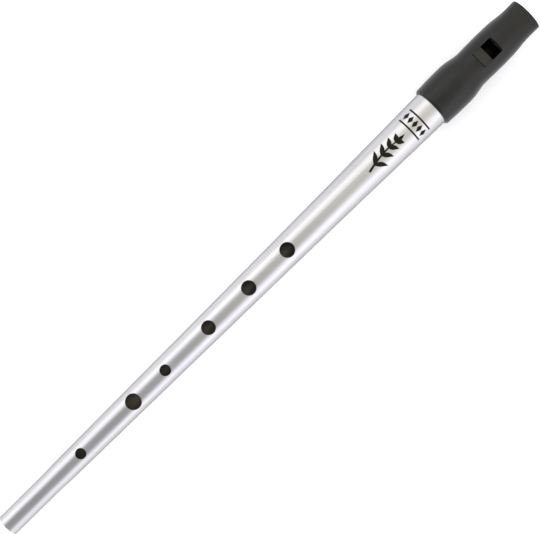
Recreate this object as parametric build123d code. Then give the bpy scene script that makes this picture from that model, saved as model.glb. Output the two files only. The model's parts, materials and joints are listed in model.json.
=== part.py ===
from build123d import *
import os

# A conical tin whistle lying along X. The origin is on the tube's axis at the foot end,
# +X runs towards the mouthpiece, and +Z is the side with the finger holes and the window.

# --- Rolled tinplate tube: (distance from the foot, outer radius) where its slope changes ---
sheet = 0.30
foot_radius = 4.77
foot_length = 24.0
spigot_radius = 7.95
spigot_start = 243.0
tube_length = 257.5
tube_outline = [
    (0.0, foot_radius),
    (foot_length, foot_radius),
    (30.0, 5.02),
    (90.0, 5.74),
    (150.0, 6.48),
    (200.0, 7.20),
    (spigot_start, spigot_radius),
    (tube_length, spigot_radius),
]

# --- Finger holes: (distance from the foot, diameter), from the foot upwards ---
finger_holes = [
    (42.7, 4.60),
    (72.7, 6.80),
    (90.9, 4.75),
    (115.5, 6.00),
    (138.4, 6.25),
    (160.3, 6.40),
]

# --- Soldered seam along the back, where the rolled sheet's two edges meet ---
seam_gap = 0.40
solder_bead_width = 1.60
solder_bead_height = 0.12

# --- Ring of soft hot-melt glue between the tube's top and the mouthpiece's socket ---
running_clearance = 0.03
socket_radius = 8.25
seal_start = 245.0
seal_length = 6.0

# --- Mouthpiece: stations along the axis ---
rim = 243.0
socket_end = 259.5
ramp_start = 268.7
labium_edge = 273.6
window_end = 278.9
beak_start = 279.0
tip = 297.9

# --- Mouthpiece: outside of the barrel and head, as (station, radius) ---
rim_face_radius = 8.32
rim_round_middle = (243.36, 8.88)
barrel_and_shoulder = [
    (244.6, 9.17),
    (249.0, 9.38),
    (255.6, 9.44),
    (258.4, 9.36),
    (261.7, 8.85),
    (264.9, 8.28),
    (268.0, 8.24),
    (273.0, 8.33),
    (beak_start, 8.30),
]

# --- Mouthpiece: beak sections, as (station, half width, half height) ---
beak_sections = [
    (beak_start, 8.30, 8.30),
    (280.5, 8.30, 8.28),
    (285.0, 8.08, 7.75),
    (290.0, 7.54, 6.67),
    (293.5, 7.45, 5.87),
    (tip, 7.42, 4.95),
]
tip_round = 0.45

# --- Beak underside: an arc from the head's underside up to the tip ---
underside_start = (278.0, -8.60)
underside_middle = (288.0, -4.00)
underside_end = (300.0, -1.60)
underside_round = 1.4

# --- Air chamber, window, ramp and windway ---
chamber_radius = 7.10
chamber_roof = 5.70
window_width = 7.40
ramp_top = 7.35
labium_top = 6.05
ramp_groove_width = 0.40
ramp_groove_floor = 6.50
roof_at_window = 6.50
roof_at_tip = 4.02
floor_at_window = 5.30
floor_at_tip = 2.72
floor_bevel = 0.45

# --- Fipple block, which closes the mouthpiece below the windway ---
block_width = 10.40
block_bottom = -5.40
block_side_gap = 0.04

# --- Reach of the cutting solids past the faces that they cut ---
beyond = 4.0


def side_face(points):
    """Face in side view through the whistle's axis, with corners given as (station, height)."""
    return make_face(Polyline(*[(x, 0, z) for x, z in points], close=True))


def ring_face(outline, thickness):
    """Half section of a thin wall: the outline, and the same outline set inwards."""
    inner = [(x, r - thickness) for x, r in reversed(outline)]
    return side_face([*outline, *inner])


def turned(face):
    """Solid of revolution of a half section about the whistle's axis."""
    return revolve(face, Axis.X, 360)


def side_slab(points, width):
    """Slab with the given outline in side view, centred across the whistle."""
    return extrude(side_face(points), width / 2, dir=(0, 1, 0), both=True)


def seam_slab(width):
    """Long slab through the back of the tube, as wide as a feature of the seam."""
    points = [(-beyond, 0), (tube_length + beyond, 0)]
    deep = -spigot_radius - beyond
    points += [(tube_length + beyond, deep), (-beyond, deep)]
    return side_slab(points, width)


def rolled_tube():
    """Tapered tube with its finger holes along the top and its open seam along the back."""
    tube = turned(ring_face(tube_outline, sheet)) - seam_slab(seam_gap)
    for station, diameter in finger_holes:
        punch = Cylinder(diameter / 2, spigot_radius + beyond, align=(Align.CENTER, Align.CENTER, Align.MIN))
        tube -= Pos(station, 0, 0) * punch
    return tube


def seam_solder():
    """Solder that fills the seam, flush outside, with a low flat-topped bead inside the bore."""
    fill = turned(ring_face(tube_outline, sheet)) & seam_slab(seam_gap)
    bore = [(x, r - sheet) for x, r in tube_outline]
    bore_space = turned(side_face([(0, 0), *bore, (tube_length, 0)]))
    bead_top = [(x, solder_bead_height - r) for x, r in bore]
    deep = -spigot_radius - beyond
    bead_slab = side_slab([*bead_top, (tube_length, deep), (0, deep)], solder_bead_width)
    return fill + (bore_space & bead_slab)


def joint_seal():
    """Ring that the tube slides in and that the mouthpiece turns on."""
    outer = socket_radius - running_clearance
    inner = spigot_radius + running_clearance
    ring = [(seal_start, outer), (seal_start + seal_length, outer)]
    return turned(ring_face(ring, outer - inner))


def head_body():
    """Barrel, shoulder and head as one turned solid with a rounded rim."""
    points = [(x, 0, r) for x, r in barrel_and_shoulder]
    face_corner = (rim, 0, rim_face_radius)
    middle = (rim_round_middle[0], 0, rim_round_middle[1])
    outline = Polyline((beak_start, 0, points[-1][2]), (beak_start, 0, 0), (rim, 0, 0), face_corner)
    outline += ThreePointArc(face_corner, middle, points[0])
    outline += Spline(*points)
    return turned(make_face(outline))


def beak_body():
    """Beak that narrows and flattens from the round head to the tip."""
    sections = []
    for station, half_width, half_height in beak_sections:
        plane = Plane(origin=(station, 0, 0), x_dir=(0, 1, 0), z_dir=(1, 0, 0))
        sections.append(plane * Ellipse(half_width, half_height))
    return loft(sections)


def underside_cut():
    """Everything below the concave underside of the beak."""
    start, middle, end = [(x, 0, z) for x, z in (underside_start, underside_middle, underside_end)]
    low = -4 * chamber_radius
    outline = ThreePointArc(start, middle, end)
    outline += Polyline(end, (end[0], 0, low), (start[0], 0, low), start)
    return extrude(make_face(outline), 2 * chamber_radius, dir=(0, 1, 0), both=True)


def mouthpiece_body():
    """Outside of the whole mouthpiece, before anything is hollowed out of it."""
    body = head_body() + beak_body() - underside_cut()
    underside = body.faces().filter_by(GeomType.CYLINDER).sort_by(SortBy.AREA)[-1]
    side_edges = [edge for edge in underside.edges() if edge.center().X < tip - tip_round]
    body = fillet(side_edges, underside_round)
    tip_face = body.faces().sort_by(Axis.X)[-1]
    return fillet(tip_face.edges(), tip_round)


def windway_height(station, at_window, at_tip):
    """Height of the windway's floor or roof at a station, on its straight line."""
    share = (station - window_end) / (tip - window_end)
    return at_window + share * (at_tip - at_window)


def block_space(width, inner_end, bevel):
    """Space under the windway's floor, down through the beak's underside."""
    outer_end = tip + beyond
    points = [(inner_end, block_bottom), (outer_end, block_bottom)]
    points += [(outer_end, windway_height(outer_end, floor_at_window, floor_at_tip))]
    points += [(inner_end + bevel, windway_height(inner_end + bevel, floor_at_window, floor_at_tip))]
    if bevel > 0:
        points += [(inner_end, floor_at_window - bevel)]
    return side_slab(points, width)


def windway():
    """Flat channel from the tip to the window."""
    outer_end = tip + beyond
    points = [(window_end, floor_at_window), (window_end, roof_at_window)]
    points += [(outer_end, windway_height(outer_end, roof_at_window, roof_at_tip))]
    points += [(outer_end, windway_height(outer_end, floor_at_window, floor_at_tip))]
    return side_slab(points, window_width)


def ramp_height(station):
    """Height of the ramp's surface at a station."""
    share = (station - ramp_start) / (labium_edge - ramp_start)
    return ramp_top + share * (labium_top - ramp_top)


def window_and_ramp():
    """Window down into the chamber, the ramp that falls to the labium's edge, and the groove at its start."""
    high = ramp_top + beyond
    groove_end = ramp_start + ramp_groove_width
    points = [(ramp_start, ramp_groove_floor), (groove_end, ramp_groove_floor)]
    points += [(groove_end, ramp_height(groove_end)), (labium_edge, labium_top)]
    points += [(labium_edge, chamber_roof - beyond), (window_end, chamber_roof - beyond)]
    points += [(window_end, high), (ramp_start, high)]
    return side_slab(points, window_width)


def chamber():
    """Socket for the tube, and the flat-roofed air chamber beyond it."""
    socket = [(rim - beyond, 0), (rim - beyond, socket_radius), (socket_end, socket_radius), (socket_end, 0)]
    bore = [(socket_end, 0), (socket_end, chamber_radius), (window_end, chamber_radius), (window_end, 0)]
    spaces = [turned(side_face(line)) for line in (socket, bore)]
    roof = [(socket_end, chamber_roof), (window_end, chamber_roof)]
    roof += [(window_end, 2 * chamber_radius), (socket_end, 2 * chamber_radius)]
    return spaces[0] + (spaces[1] - side_slab(roof, 4 * chamber_radius))


def mouthpiece_shell(body):
    """Moulded mouthpiece: socket, chamber, window, ramp, windway roof and the beak's sides."""
    shell = body - chamber() - window_and_ramp() - windway()
    return shell - block_space(block_width, window_end, 0)


def fipple_block(body):
    """Block pressed up into the beak: the windway's floor and the chamber's end wall."""
    return body & block_space(block_width - 2 * block_side_gap, window_end, floor_bevel)


whole_mouthpiece = mouthpiece_body()
nodes = {
    "tube": rolled_tube(),
    "seam_solder": seam_solder(),
    "joint_seal": joint_seal(),
    "mouthpiece_shell": mouthpiece_shell(whole_mouthpiece),
    "fipple_block": fipple_block(whole_mouthpiece),
}

os.makedirs("parts", exist_ok=True)
for name, shape in nodes.items():
    export_step(shape, f"parts/{name}.step")
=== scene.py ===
import json
from itertools import pairwise
from math import cos, hypot, pi, radians, sin

import bpy
from mathutils import Matrix, Vector


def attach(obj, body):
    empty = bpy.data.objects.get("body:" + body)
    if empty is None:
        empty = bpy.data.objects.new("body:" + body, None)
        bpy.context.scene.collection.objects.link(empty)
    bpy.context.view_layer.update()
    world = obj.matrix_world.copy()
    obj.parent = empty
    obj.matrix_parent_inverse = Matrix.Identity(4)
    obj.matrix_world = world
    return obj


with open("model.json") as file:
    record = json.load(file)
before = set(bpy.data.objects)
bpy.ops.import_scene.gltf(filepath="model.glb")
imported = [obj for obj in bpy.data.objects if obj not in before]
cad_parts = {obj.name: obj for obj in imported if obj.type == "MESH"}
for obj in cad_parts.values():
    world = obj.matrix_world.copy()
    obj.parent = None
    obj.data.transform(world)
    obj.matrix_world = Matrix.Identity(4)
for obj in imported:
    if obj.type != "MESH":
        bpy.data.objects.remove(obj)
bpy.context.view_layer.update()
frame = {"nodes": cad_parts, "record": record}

# Everything is in metres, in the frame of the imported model: the whistle lies along X with its foot at the
# origin, its finger holes face +Z and its mouthpiece is at the far end.
mm = 0.001
nodes = frame["nodes"]

# The window and its ramp, in the mouthpiece's top. The window's opening starts a little past the labium's
# edge and is a little narrower than the window.
opening_end_gap = 0.4 * mm
opening_side_gap = 0.3 * mm
ramp_length = 4.5 * mm
ramp_depth = 2.0 * mm
ramp_top = 7.35 * mm
window_low, window_high = next(
    opening["box_m"] for opening in frame["record"]["physics"]["openings"] if opening["name"] == "window")
window_half = window_high[1] + opening_side_gap
labium_edge = window_low[0] - opening_end_gap
ramp_start = labium_edge - ramp_length


def rings_of_tube(start):
    """(station, outside radius) of the rings of the tube's mesh from a station on, in order."""
    radii = {}
    for vertex in nodes["tube"].data.vertices:
        station = round(vertex.co.x, 6)
        if station >= start:
            radii[station] = max(radii.get(station, 0.0), hypot(vertex.co.y, vertex.co.z))
    return sorted(radii.items())


def tube_radius(station, rings):
    """The tube's outside radius at a station between two of the rings."""
    for (low, low_radius), (high, high_radius) in pairwise(rings):
        if low <= station <= high:
            return low_radius + (high_radius - low_radius) * (station - low) / (high - low)
    raise ValueError(f"no ring of the tube on each side of {station}")


# --- Camera -------------------------------------------------------------------------------------------------

camera_height = 548 * mm
camera_station = 150.5 * mm
camera_turn = radians(-44.61)
camera_lens = 89.3
sensor_width = 36.0


def add_camera():
    """A camera straight above the whistle, turned so that the whistle climbs to the upper right."""
    data = bpy.data.cameras.new("camera")
    data.lens = camera_lens
    data.sensor_width = sensor_width
    data.clip_start, data.clip_end = 0.01, 20.0
    camera = bpy.data.objects.new("camera", data)
    camera.location = (camera_station, 0.0, camera_height)
    camera.rotation_euler = (0.0, 0.0, camera_turn)
    bpy.context.scene.collection.objects.link(camera)
    bpy.context.scene.camera = camera


# --- Node helpers -------------------------------------------------------------------------------------------

def new_material(name):
    """A material with an empty node tree but for its shader and output, and a function that adds nodes."""
    material = bpy.data.materials.new(name)
    material.use_nodes = True
    tree = material.node_tree
    tree.nodes.clear()
    output = tree.nodes.new("ShaderNodeOutputMaterial")
    shader = tree.nodes.new("ShaderNodeBsdfPrincipled")
    tree.links.new(shader.outputs["BSDF"], output.inputs["Surface"])
    return material, tree, shader


def add_node(tree, kind, settings=None, **inputs):
    """A node with its settings, and its inputs set to constants or linked to other nodes' sockets."""
    node = tree.nodes.new("ShaderNode" + kind)
    for name, value in (settings or {}).items():
        setattr(node, name, value)
    for name, value in inputs.items():
        socket = node.inputs[int(name[1:])] if name[1:].isdigit() else node.inputs[name.replace("_", " ")]
        if isinstance(value, bpy.types.NodeSocket):
            tree.links.new(value, socket)
        else:
            socket.default_value = value
    return node


def calculate(tree, operation, first, second=0.0, clamp=False):
    """One step of arithmetic on two values."""
    node = add_node(tree, "Math", {"operation": operation, "use_clamp": clamp}, i0=first, i1=second)
    return node.outputs[0]


def smooth_step(tree, value, low, high):
    """A value that goes smoothly from 0 at low to 1 at high."""
    node = add_node(tree, "MapRange", {"interpolation_type": "SMOOTHSTEP"}, Value=value)
    node.inputs["From Min"].default_value = low
    node.inputs["From Max"].default_value = high
    return node.outputs["Result"]


def within(tree, value, low, high, soft):
    """1 where a value lies between low and high, falling smoothly to 0 on each side."""
    above = smooth_step(tree, value, low - soft, low + soft)
    return calculate(tree, "MULTIPLY", above, smooth_step(tree, value, high + soft, high - soft))


def between(tree, share, low, high):
    """A value that goes in proportion from low where share is 0 to high where it is 1."""
    node = add_node(tree, "MapRange", Value=share)
    node.inputs["To Min"].default_value = low
    node.inputs["To Max"].default_value = high
    return node.outputs["Result"]


def blend_colours(tree, share, first, second):
    """The first colour where share is 0 and the second where it is 1."""
    node = add_node(tree, "Mix", {"data_type": "RGBA"})
    for socket, value in ((node.inputs[0], share), (node.inputs[6], first), (node.inputs[7], second)):
        if isinstance(value, bpy.types.NodeSocket):
            tree.links.new(value, socket)
        else:
            socket.default_value = value
    return node.outputs[2]


def around_the_axis(tree):
    """(x, turn, distance): station along the whistle, angle about its axis and distance from it."""
    place = add_node(tree, "TexCoord").outputs["Object"]
    parts = add_node(tree, "SeparateXYZ", Vector=place).outputs
    turn = calculate(tree, "ARCTAN2", parts[1], parts[2])
    squares = [calculate(tree, "POWER", part, 2.0) for part in (parts[1], parts[2])]
    return parts[0], turn, calculate(tree, "SQRT", calculate(tree, "ADD", *squares))


def stretched(tree, station, turn, along, around):
    """A place for noise that is stretched along the whistle: cells per metre, and cells per radian."""
    return add_node(tree, "CombineXYZ", X=calculate(tree, "MULTIPLY", station, along),
                    Y=calculate(tree, "MULTIPLY", turn, around)).outputs[0]


def noise(tree, vector, scale, detail=3.0, roughness=0.5):
    """Smooth noise from 0 to 1."""
    node = add_node(tree, "TexNoise", Vector=vector, Scale=scale, Detail=detail, Roughness=roughness)
    return node.outputs["Fac"]


def bump(tree, height, distance, strength=1.0, normal=None):
    """Normals tilted by a height map, whose highest value stands the given distance proud."""
    node = add_node(tree, "Bump", Height=height, Distance=distance, Strength=strength)
    if normal is not None:
        tree.links.new(normal, node.inputs["Normal"])
    return node.outputs["Normal"]


# --- Materials ----------------------------------------------------------------------------------------------

# How much the tube's radius grows over its length, and the cosines between a mesh normal and the cone's own
# at which the cone's starts to count, and at which it replaces the mesh's.
taper = 0.0131
least_agreement = 0.965
full_agreement = 0.99

tin_cool = (0.50, 0.50, 0.515, 1)
tin_warm = (0.59, 0.585, 0.575, 1)
tin_brushed = (0.36, 0.36, 0.37, 1)
tin_grazing = (0.42, 0.42, 0.44, 1)
# The bore's colour is painted shade: darker and olive, standing in for the shade inside the tube.
bore_painted_shade = (0.25, 0.235, 0.195, 1)
bore_roughness = 0.55
shell_shade = (0.0061, 0.0063, 0.0060)
block_shade = (0.0060, 0.0062, 0.0058)
# The ramp's lighter colour is a painted highlight, standing in for the light its sloping face catches.
ramp_painted_highlight = (0.0165, 0.0150, 0.0115, 1)
solder_dark = (0.42, 0.42, 0.43, 1)
solder_light = (0.60, 0.60, 0.59, 1)
# The bead's colours inside the bore are painted shade, darker where the inside of the tube lies in shade.
bead_painted_shade_dark = (0.12, 0.112, 0.092, 1)
bead_painted_shade_light = (0.19, 0.178, 0.15, 1)
glue_dark = (0.50, 0.38, 0.20, 1)
glue_light = (0.66, 0.56, 0.36, 1)
ink_thick = (0.0035, 0.0035, 0.0035, 1)
ink_thin = (0.013, 0.013, 0.012, 1)
ink_pinhole = (0.12, 0.12, 0.12, 1)


def faces_inwards(tree):
    """1 where a surface of the tube faces its axis, which is the bore, and 0 on the outside."""
    coordinates = add_node(tree, "TexCoord")
    place = add_node(tree, "SeparateXYZ", Vector=coordinates.outputs["Object"]).outputs
    facing = add_node(tree, "SeparateXYZ", Vector=coordinates.outputs["Normal"]).outputs
    dot = calculate(tree, "ADD", calculate(tree, "MULTIPLY", place[1], facing[1]),
                    calculate(tree, "MULTIPLY", place[2], facing[2]))
    return calculate(tree, "LESS_THAN", dot, 0.0)


def cone_normal(tree, edges):
    """The normal of the tapered tube itself where the surface is smooth, and the given one at the edges."""
    place = add_node(tree, "SeparateXYZ", Vector=add_node(tree, "TexCoord").outputs["Object"]).outputs
    _, _, distance = around_the_axis(tree)
    lean = calculate(tree, "MULTIPLY", distance, -taper)
    outwards = add_node(tree, "CombineXYZ", X=lean, Y=place[1], Z=place[2]).outputs[0]
    settings = {"vector_type": "NORMAL", "convert_from": "OBJECT", "convert_to": "WORLD"}
    true = add_node(tree, "VectorTransform", settings, i0=outwards).outputs[0]
    true = add_node(tree, "VectorMath", {"operation": "NORMALIZE"}, i0=true).outputs[0]
    agreement = add_node(tree, "VectorMath", {"operation": "DOT_PRODUCT"}, i0=edges, i1=true).outputs["Value"]
    mix = add_node(tree, "Mix", {"data_type": "VECTOR"}, i4=edges, i5=true)
    tree.links.new(smooth_step(tree, agreement, least_agreement, full_agreement), mix.inputs[0])
    return mix.outputs[1]


def tinplate():
    """Drawn tinplate: brushed streaks along it, cloudy tone and faint waves outside, and a dull, rough bore
    whose darker colour is painted shade.
    """
    material, tree, shader = new_material("tinplate_drawn")
    station, turn, _ = around_the_axis(tree)
    streaks = noise(tree, stretched(tree, station, turn, 12.0, 15.0), 1.0, 4.0, 0.66)
    lines = noise(tree, stretched(tree, station, turn, 9.0, 95.0), 1.0, 2.0, 0.7)
    clouds = noise(tree, stretched(tree, station, turn, 38.0, 1.1), 1.0, 2.0)
    smudges = noise(tree, stretched(tree, station, turn, 120.0, 2.4), 1.0, 4.0, 0.7)
    smudges = smooth_step(tree, smudges, 0.52, 0.75)
    inside = faces_inwards(tree)
    outer = blend_colours(tree, clouds, tin_cool, tin_warm)
    brushed = calculate(tree, "MULTIPLY", smooth_step(tree, streaks, 0.35, 0.65), 0.3)
    outer = blend_colours(tree, brushed, outer, tin_brushed)
    # The bore gets a darker colour of painted shade, standing in for the shade inside the tube.
    colour = blend_colours(tree, inside, outer, bore_painted_shade)
    tree.links.new(colour, shader.inputs["Base Color"])
    shader.inputs["Metallic"].default_value = 1.0
    shader.inputs["Specular Tint"].default_value = tin_grazing
    polish = calculate(tree, "ADD", between(tree, streaks, 0.25, 0.36), between(tree, smudges, 0.0, 0.07))
    rough = add_node(tree, "Mix", {"data_type": "FLOAT"}, i0=inside, i2=polish, i3=bore_roughness).outputs[0]
    tree.links.new(rough, shader.inputs["Roughness"])
    edges = add_node(tree, "Bevel", {"samples": 6}, Radius=0.25 * mm).outputs["Normal"]
    waves = bump(tree, clouds, 0.05 * mm, 0.6, cone_normal(tree, edges))
    drawn = bump(tree, streaks, 0.004 * mm, 0.8, waves)
    tree.links.new(bump(tree, lines, 0.0022 * mm, 0.7, drawn), shader.inputs["Normal"])
    return material


def black_plastic(name, shade, grain_size):
    """Satin moulded plastic with a fine grain, cloudy gloss, faint scuffs and the mould's parting line, and a
    lighter painted highlight on the ramp.
    """
    material, tree, shader = new_material(name)
    place = add_node(tree, "TexCoord").outputs["Object"]
    parts = add_node(tree, "SeparateXYZ", Vector=place).outputs
    grain = noise(tree, place, 1 / grain_size, 2.0, 0.6)
    clouds = noise(tree, place, 130.0, 4.0, 0.6)
    squeezed = add_node(tree, "Mapping", Vector=place, Scale=(260, 2600, 2600)).outputs[0]
    scuffs = smooth_step(tree, noise(tree, squeezed, 1.0, 3.0, 0.6), 0.60, 0.72)
    ramp = on_the_ramp(tree, parts)
    dark = tuple(0.75 * c for c in shade) + (1,)
    light = tuple(1.25 * c for c in shade) + (1,)
    colour = blend_colours(tree, clouds, dark, light)
    # The ramp gets a lighter colour as a painted highlight, standing in for the light its sloping face
    # catches.
    colour = blend_colours(tree, ramp, colour, ramp_painted_highlight)
    tree.links.new(colour, shader.inputs["Base Color"])
    gloss = calculate(tree, "ADD", between(tree, clouds, 0.25, 0.38), between(tree, scuffs, 0.0, 0.12))
    tree.links.new(gloss, shader.inputs["Roughness"])
    shader.inputs["Specular IOR Level"].default_value = 0.30
    edges = add_node(tree, "Bevel", {"samples": 6}, Radius=0.15 * mm).outputs["Normal"]
    parting = within(tree, parts[2], -0.04 * mm, 0.04 * mm, 0.03 * mm)
    ridge = bump(tree, parting, 0.03 * mm, 0.8, edges)
    tree.links.new(bump(tree, grain, 0.01 * mm, 0.5, ridge), shader.inputs["Normal"])
    return material


def on_the_ramp(tree, parts):
    """1 on the sloping ramp that leads down to the window, and 0 elsewhere on the mouthpiece."""
    along = within(tree, parts[0], ramp_start, labium_edge, 0.1 * mm)
    across = within(tree, parts[1], -window_half, window_half, 0.1 * mm)
    low_enough = calculate(tree, "LESS_THAN", parts[2], ramp_top + 0.05 * mm)
    high_enough = calculate(tree, "GREATER_THAN", parts[2], ramp_top - ramp_depth)
    return calculate(tree, "MULTIPLY", calculate(tree, "MULTIPLY", along, across),
                     calculate(tree, "MULTIPLY", low_enough, high_enough))


def solder():
    """Wiped solder, bright in the seam outside, and inside the bore darker with painted shade."""
    material, tree, shader = new_material("solder_dull")
    place = add_node(tree, "TexCoord").outputs["Object"]
    ripples = noise(tree, place, 1400.0, 3.0)
    inside = faces_inwards(tree)
    bright = blend_colours(tree, ripples, solder_dark, solder_light)
    # Inside the bore the bead takes darker colours of painted shade.
    painted_shade_bead = blend_colours(tree, ripples, bead_painted_shade_dark, bead_painted_shade_light)
    tree.links.new(blend_colours(tree, inside, bright, painted_shade_bead), shader.inputs["Base Color"])
    shader.inputs["Metallic"].default_value = 1.0
    tree.links.new(between(tree, ripples, 0.36, 0.55), shader.inputs["Roughness"])
    tree.links.new(bump(tree, ripples, 0.03 * mm), shader.inputs["Normal"])
    return material


def glue():
    """Amber hot-melt glue, waxy and a little translucent."""
    material, tree, shader = new_material("glue_waxy")
    place = add_node(tree, "TexCoord").outputs["Object"]
    lumps = noise(tree, place, 700.0, 2.0)
    tree.links.new(blend_colours(tree, lumps, glue_dark, glue_light), shader.inputs["Base Color"])
    shader.inputs["Roughness"].default_value = 0.4
    shader.inputs["Subsurface Weight"].default_value = 0.3
    shader.inputs["Subsurface Scale"].default_value = 0.5 * mm
    tree.links.new(bump(tree, lumps, 0.05 * mm), shader.inputs["Normal"])
    return material


def ink():
    """Black printing ink, thin in places, with pinholes and a soft sheen."""
    material, tree, shader = new_material("ink_black")
    place = add_node(tree, "TexCoord").outputs["Object"]
    cover = noise(tree, place, 900.0, 4.0, 0.65)
    specks = smooth_step(tree, noise(tree, place, 5200.0, 2.0, 0.5), 0.66, 0.74)
    colour = blend_colours(tree, cover, ink_thick, ink_thin)
    colour = blend_colours(tree, calculate(tree, "MULTIPLY", specks, 0.5), colour, ink_pinhole)
    tree.links.new(colour, shader.inputs["Base Color"])
    tree.links.new(between(tree, cover, 0.42, 0.6), shader.inputs["Roughness"])
    shader.inputs["Specular IOR Level"].default_value = 0.1
    tree.links.new(bump(tree, cover, 0.003 * mm, 0.6), shader.inputs["Normal"])
    return material


def dress_the_frame():
    """Gives each CAD node its finished material."""
    for node, material in (
        ("tube", tinplate()),
        ("seam_solder", solder()),
        ("joint_seal", glue()),
        ("mouthpiece_shell", black_plastic("shell_plastic_satin", shell_shade, 0.25 * mm)),
        ("fipple_block", black_plastic("block_plastic_satin", block_shade, 0.2 * mm)),
    ):
        nodes[node].data.materials.clear()
        nodes[node].data.materials.append(material)


# --- Printed ornament ---------------------------------------------------------------------------------------
# A generic sprig of leaves and a row of lozenges between two lines, in black ink on top of the tube. A place
# in the ornament is (station, arc): metres from the foot, and metres round the tube from its top.

sprig_start = 206 * mm
sprig_end = 227 * mm
leaf_length = 5.2 * mm
leaf_half_width = 1.0 * mm
leaf_shrink = 0.12
leaf_pairs = 4
first_pair = 0.16
pair_spacing = 0.25
leaf_bend = (0.55, 0.28)
leaf_tip = (0.78, 0.86)
stem_offset = -1.0 * mm
stem_bend = 1.6 * mm
stem_half_width = 0.50 * mm
stem_thinning = 0.22 * mm
bud_length = 4 * mm
bud_half_width = 0.9 * mm
band_start = 229.6 * mm
band_end = 235.6 * mm
band_half_arc = 6.3 * mm
line_half_width = 0.36 * mm
lozenges = 5
lozenge_half_length = 1.9 * mm
lozenge_half_width = 1.0 * mm
film_proud = 0.02 * mm
film_sunk = 0.04 * mm
thinnest = 0.04 * mm
sharp_edge = radians(40)


def stroke(path, half_width, steps):
    """Rows of places across one stroke of ink. The path and its half width are functions of a share."""
    rows = []
    nudge = 0.001
    for step in range(steps + 1):
        share = step / steps
        here = Vector(path(share))
        ahead = (Vector(path(share + nudge)) - Vector(path(share - nudge))).normalized()
        side = Vector((-ahead.y, ahead.x)) * max(half_width(share), thinnest)
        rows.append([here + side * lane for lane in (-1.0, -0.5, 0.0, 0.5, 1.0)])
    return rows


def curve(start, middle, end):
    """The path of a quadratic curve from start to end, pulled towards middle."""
    start, middle, end = Vector(start), Vector(middle), Vector(end)
    return lambda share: start * (1 - share) ** 2 + middle * 2 * share * (1 - share) + end * share ** 2


def sprig():
    """A stem with a gentle bend and leaves in pairs, and a bud at its tip."""
    middle = (sprig_start + sprig_end) / 2
    stem = curve((sprig_start, stem_offset), (middle, stem_bend), (sprig_end - bud_length, 0.0))
    strokes = [stroke(stem, lambda share: stem_half_width - stem_thinning * share, 32)]
    for pair in range(leaf_pairs):
        share = first_pair + pair_spacing * pair
        root = stem(share)
        length = leaf_length * (1.0 - leaf_shrink * pair)
        for side in (-1, 1):
            bend = root + length * Vector((leaf_bend[0], side * leaf_bend[1]))
            tip = root + length * Vector((leaf_tip[0], side * leaf_tip[1]))
            strokes.append(stroke(curve(root, bend, tip), leaf_width(leaf_half_width), 20))
    top = stem(1.0)
    strokes.append(stroke(curve(top, top, (sprig_end, 0.0)), leaf_width(bud_half_width), 20))
    return strokes


def leaf_width(widest):
    """Half width of a leaf along its length: pointed at both ends, widest a little before its middle."""
    return lambda share: widest * sin(pi * share ** 0.8)


def band():
    """A row of lozenges round the tube between two thin lines."""
    strokes = []
    for station in (band_start, band_end):
        line_path = curve((station, -band_half_arc), (station, 0.0), (station, band_half_arc))
        strokes.append(stroke(line_path, lambda share: line_half_width, 40))
    middle = (band_start + band_end) / 2
    pitch = 2 * band_half_arc / lozenges
    for number in range(lozenges):
        arc = pitch * (number - (lozenges - 1) / 2)
        path = curve((middle - lozenge_half_length, arc), (middle, arc), (middle + lozenge_half_length, arc))
        strokes.append(stroke(path, lambda share: lozenge_half_width * (1 - abs(2 * share - 1)), 12))
    return strokes


def film(name, strokes, rings):
    """A thin closed film of ink for every stroke, wrapped round the tube."""
    points, faces = [], []
    for rows in strokes:
        base, lanes = len(points), len(rows[0])
        layer = len(rows) * lanes
        for height in (film_proud, -film_sunk):
            for row in rows:
                for station, arc in row:
                    radius = tube_radius(station, rings)
                    turn = arc / radius
                    reach = radius + height
                    points.append((station, reach * sin(turn), reach * cos(turn)))
        for row in range(len(rows) - 1):
            for lane in range(lanes - 1):
                corner = base + row * lanes + lane
                top = [corner, corner + 1, corner + lanes + 1, corner + lanes]
                faces += [top, [layer + index for index in reversed(top)]]
        left = [base + row * lanes for row in range(len(rows))]
        right = [index + lanes - 1 for index in left]
        far_end = list(range(left[-1] + 1, right[-1]))
        near_end = list(range(right[0] - 1, left[0], -1))
        rim = left + far_end + right[::-1] + near_end
        faces += [[a, b, b + layer, a + layer] for a, b in zip(rim, rim[1:] + rim[:1])]
    mesh = bpy.data.meshes.new(name)
    mesh.from_pydata(points, [], faces)
    mesh.materials.append(ink())
    mesh.shade_smooth()
    mesh.set_sharp_from_angle(angle=sharp_edge)
    piece = bpy.data.objects.new(name, mesh)
    bpy.context.scene.collection.objects.link(piece)
    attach(piece, "tube")


def print_ornament():
    """Prints the sprig and the band of lozenges on the tube."""
    rings = rings_of_tube(sprig_start - 10 * mm)
    film("ink_sprig", sprig(), rings)
    film("ink_band", band(), rings)


# --- Floor and light ----------------------------------------------------------------------------------------

floor_half = 3.0
floor_gap = 0.02 * mm
floor_white = (0.94, 0.94, 0.97, 1)
floor_glow = 0.25
softbox_reach = 0.80
softbox_soft_edge = 0.5
softbox_core = 0.08
ceiling_at_foot = (0.42, 0.43, 0.46, 1)
ceiling_at_head = (1.5, 1.45, 1.28, 1)
horizon = (1.17, 1.17, 1.24, 1)


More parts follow.
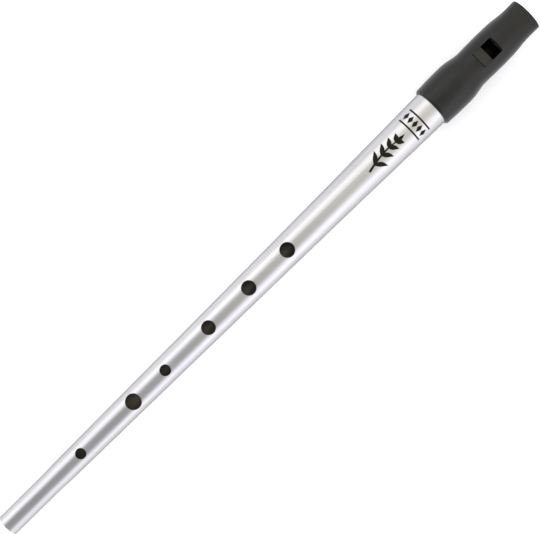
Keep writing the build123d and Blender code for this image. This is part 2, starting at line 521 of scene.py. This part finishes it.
def add_floor():
    """A pale floor that touches the foot and the barrel, so it falls a little towards the mouthpiece."""
    foot_radius = rings_of_tube(0.0)[0][1]
    shell = nodes["mouthpiece_shell"].data.vertices
    slope = min((vertex.co.z + foot_radius) / vertex.co.x for vertex in shell)
    plan = [(x * floor_half, y * floor_half) for x, y in ((-1, -1), (1, -1), (1, 1), (-1, 1))]
    mesh = bpy.data.meshes.new("floor")
    mesh.from_pydata([(x, y, slope * x - foot_radius - floor_gap) for x, y in plan], [], [(0, 1, 2, 3)])
    floor = bpy.data.objects.new("floor", mesh)
    bpy.context.scene.collection.objects.link(floor)
    material, _, shader = new_material("floor_pale")
    shader.inputs["Base Color"].default_value = floor_white
    shader.inputs["Emission Color"].default_value = (1.0, 1.0, 1.0, 1)
    shader.inputs["Emission Strength"].default_value = floor_glow
    shader.inputs["Roughness"].default_value = 0.9
    shader.inputs["Specular IOR Level"].default_value = 0.2
    mesh.materials.append(material)


def add_softbox(name, start, end, width, shares, radiance, rise, fall, colour):
    """A long soft light that faces the whistle. Its lit share of the width goes from the first of shares at
    its start to the second at its end, and along its length it brightens over rise and dims over fall."""
    start, end = Vector(start), Vector(end)
    length = (end - start).length
    data = bpy.data.lights.new(name, "AREA")
    data.shape = "RECTANGLE"
    data.size, data.size_y = length, width
    data.energy = pi * length * width
    data.color = colour
    data.use_nodes = True
    tree = data.node_tree
    place = add_node(tree, "NewGeometry").outputs["Parametric"]
    along, across, _ = add_node(tree, "SeparateXYZ", Vector=place).outputs
    from_middle = calculate(tree, "ABSOLUTE", calculate(tree, "SUBTRACT", across, 0.5))
    from_middle = calculate(tree, "DIVIDE", from_middle, between(tree, along, *shares))
    lit = smooth_step(tree, from_middle, softbox_soft_edge, softbox_core)
    strength = calculate(tree, "MULTIPLY", lit, radiance)
    strength = calculate(tree, "MULTIPLY", strength, smooth_step(tree, along, *rise))
    strength = calculate(tree, "MULTIPLY", strength, smooth_step(tree, along, fall[1], fall[0]))
    tree.links.new(strength, tree.nodes["Emission"].inputs["Strength"])
    light = bpy.data.objects.new(name, data)
    light.location = (start + end) / 2
    side = (end - start).normalized()
    back = light.location - Vector((camera_station, 0, 0))
    back = (back - side * back.dot(side)).normalized()
    axes = Matrix((side, back.cross(side), back)).transposed()
    light.rotation_mode = "QUATERNION"
    light.rotation_quaternion = axes.to_quaternion()
    light.visible_camera = False
    bpy.context.scene.collection.objects.link(light)


def at_angle(station, angle, side):
    """A point on a circle round the whistle's axis, at an angle in degrees from straight up."""
    return station, side * softbox_reach * sin(radians(angle)), softbox_reach * cos(radians(angle))


def add_world():
    """Room light: pale at the horizon, and overhead dim over the foot but bright and warm over the head."""
    world = bpy.data.worlds.new("room")
    bpy.context.scene.world = world
    world.use_nodes = True
    tree = world.node_tree
    tree.nodes.clear()
    direction = add_node(tree, "TexCoord").outputs["Generated"]
    parts = add_node(tree, "SeparateXYZ", Vector=direction).outputs
    along = smooth_step(tree, parts[0], -0.2, 0.3)
    ceiling = blend_colours(tree, along, ceiling_at_foot, ceiling_at_head)
    share = smooth_step(tree, parts[2], 0.1, 0.9)
    colour = blend_colours(tree, share, horizon, ceiling)
    background = add_node(tree, "Background", Color=colour, Strength=1.0)
    output = tree.nodes.new("ShaderNodeOutputWorld")
    tree.links.new(background.outputs[0], output.inputs["Surface"])


def add_lights():
    """Two long softboxes, one on each side, both lower towards the foot and narrower towards the head."""
    white, lavender = (0.99, 0.98, 1.0), (0.92, 0.90, 1.0)
    add_softbox("softbox_far", at_angle(-0.5, 59, 1), at_angle(0.75, 34, 1), 1.25, (1.0, 0.62),
                1.3, (-0.5, 0.0), (0.45, 1.05), white)
    add_softbox("softbox_near", at_angle(-0.5, 108, -1), at_angle(0.75, 37, -1), 1.3, (1.0, 0.54),
                1.02, (0.1, 0.5), (0.55, 1.25), lavender)


add_camera()
add_floor()
add_world()
add_lights()
dress_the_frame()
print_ornament()

bpy.context.scene.view_settings.view_transform = "Standard"
